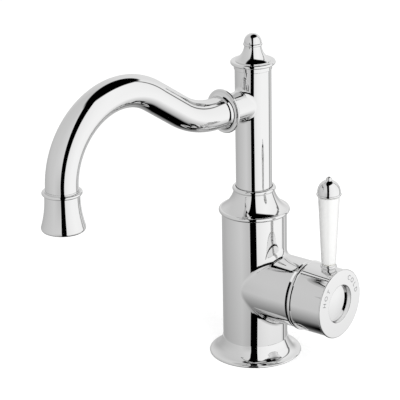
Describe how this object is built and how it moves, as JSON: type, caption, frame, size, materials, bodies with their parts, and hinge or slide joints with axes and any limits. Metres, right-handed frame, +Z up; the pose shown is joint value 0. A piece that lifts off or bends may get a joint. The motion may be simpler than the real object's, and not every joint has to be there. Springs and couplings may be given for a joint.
{
  "type": "basin mixer tap",
  "caption": "Column basin mixer tap with a swivelling swan-neck spout, a beaded outlet and a side handle with an upright ceramic lever.",
  "frame": {"origin": "centre of the base's underside, on the deck face", "axes": "+Z up out of the deck, +X along the handle's axis away from the body, and the spout points along -Y, turned 7.7 degrees towards -X"},
  "size_m": [0.1128, 0.2237, 0.2394],
  "materials": {
    "polished_chrome": "polished chrome plate on brass",
    "glazed_ceramic": "white glaze",
    "disc_ceramic": "lapped alumina",
    "brass": "turned",
    "steel": "turned stainless",
    "rubber": "matte",
    "nylon": "moulded",
    "aerator_plastic": "moulded grey"
  },
  "bodies": {
    "fixed": {"base_flange": "polished_chrome", "deck_seal": "rubber", "body": "polished_chrome", "shoulder": "polished_chrome", "neck_ring": "polished_chrome", "swivel_bush": "nylon", "thrust_washer": "nylon", "cartridge_base": "nylon", "cartridge_seals": "rubber", "cartridge_housing": "nylon", "fixed_disc": "disc_ceramic", "cartridge_nut": "brass"},
    "spout": {"column": "polished_chrome", "column_o_rings": "rubber", "retaining_ring": "steel", "top_collar": "polished_chrome", "collar_o_ring": "rubber", "finial": "polished_chrome", "spout_nipple": "brass", "tube_seal": "rubber", "tee_ring": "polished_chrome", "spout_tube": "polished_chrome", "outlet_bell": "polished_chrome", "aerator_housing": "polished_chrome", "aerator_insert": "aerator_plastic", "aerator_washer": "rubber"},
    "cartridge_rotor": {"rotor": "nylon", "pivot_pin": "steel"},
    "disc_slider": {"moving_disc": "disc_ceramic", "disc_carrier": "nylon"},
    "handle": {"stem": "steel", "handle_drum": "polished_chrome", "face_ring": "polished_chrome", "index_cap": "polished_chrome", "handle_screw": "steel", "lever_rod": "steel", "lever_ferrule": "polished_chrome", "grip_washer_lower": "nylon", "lever_grip": "glazed_ceramic", "grip_washer_upper": "nylon", "lever_cap": "polished_chrome"}
  },
  "joints": [
    {"name": "spout_swivel", "type": "hinge", "parent": "fixed", "child": "spout", "pos_m": [0, 0, 0.1], "axis": [0, 0, 1], "continuous": true},
    {"name": "temperature", "type": "hinge", "parent": "fixed", "child": "cartridge_rotor", "pos_m": [0, 0, 0.05465], "axis": [1, 0, 0], "range_deg": [-45, 45]},
    {"name": "flow", "type": "hinge", "parent": "cartridge_rotor", "child": "handle", "pos_m": [0.0344, 0, 0.05465], "axis": [0, 1, 0], "range_deg": [0, 20]},
    {"name": "disc_slide", "type": "slide", "parent": "cartridge_rotor", "child": "disc_slider", "axis": [0, 0, 1], "range_m": [0, 0.0019]}
  ],
  "couplings": [
    {"joint": "disc_slide", "follows": "flow", "m_per_rad": 0.00534}
  ]
}
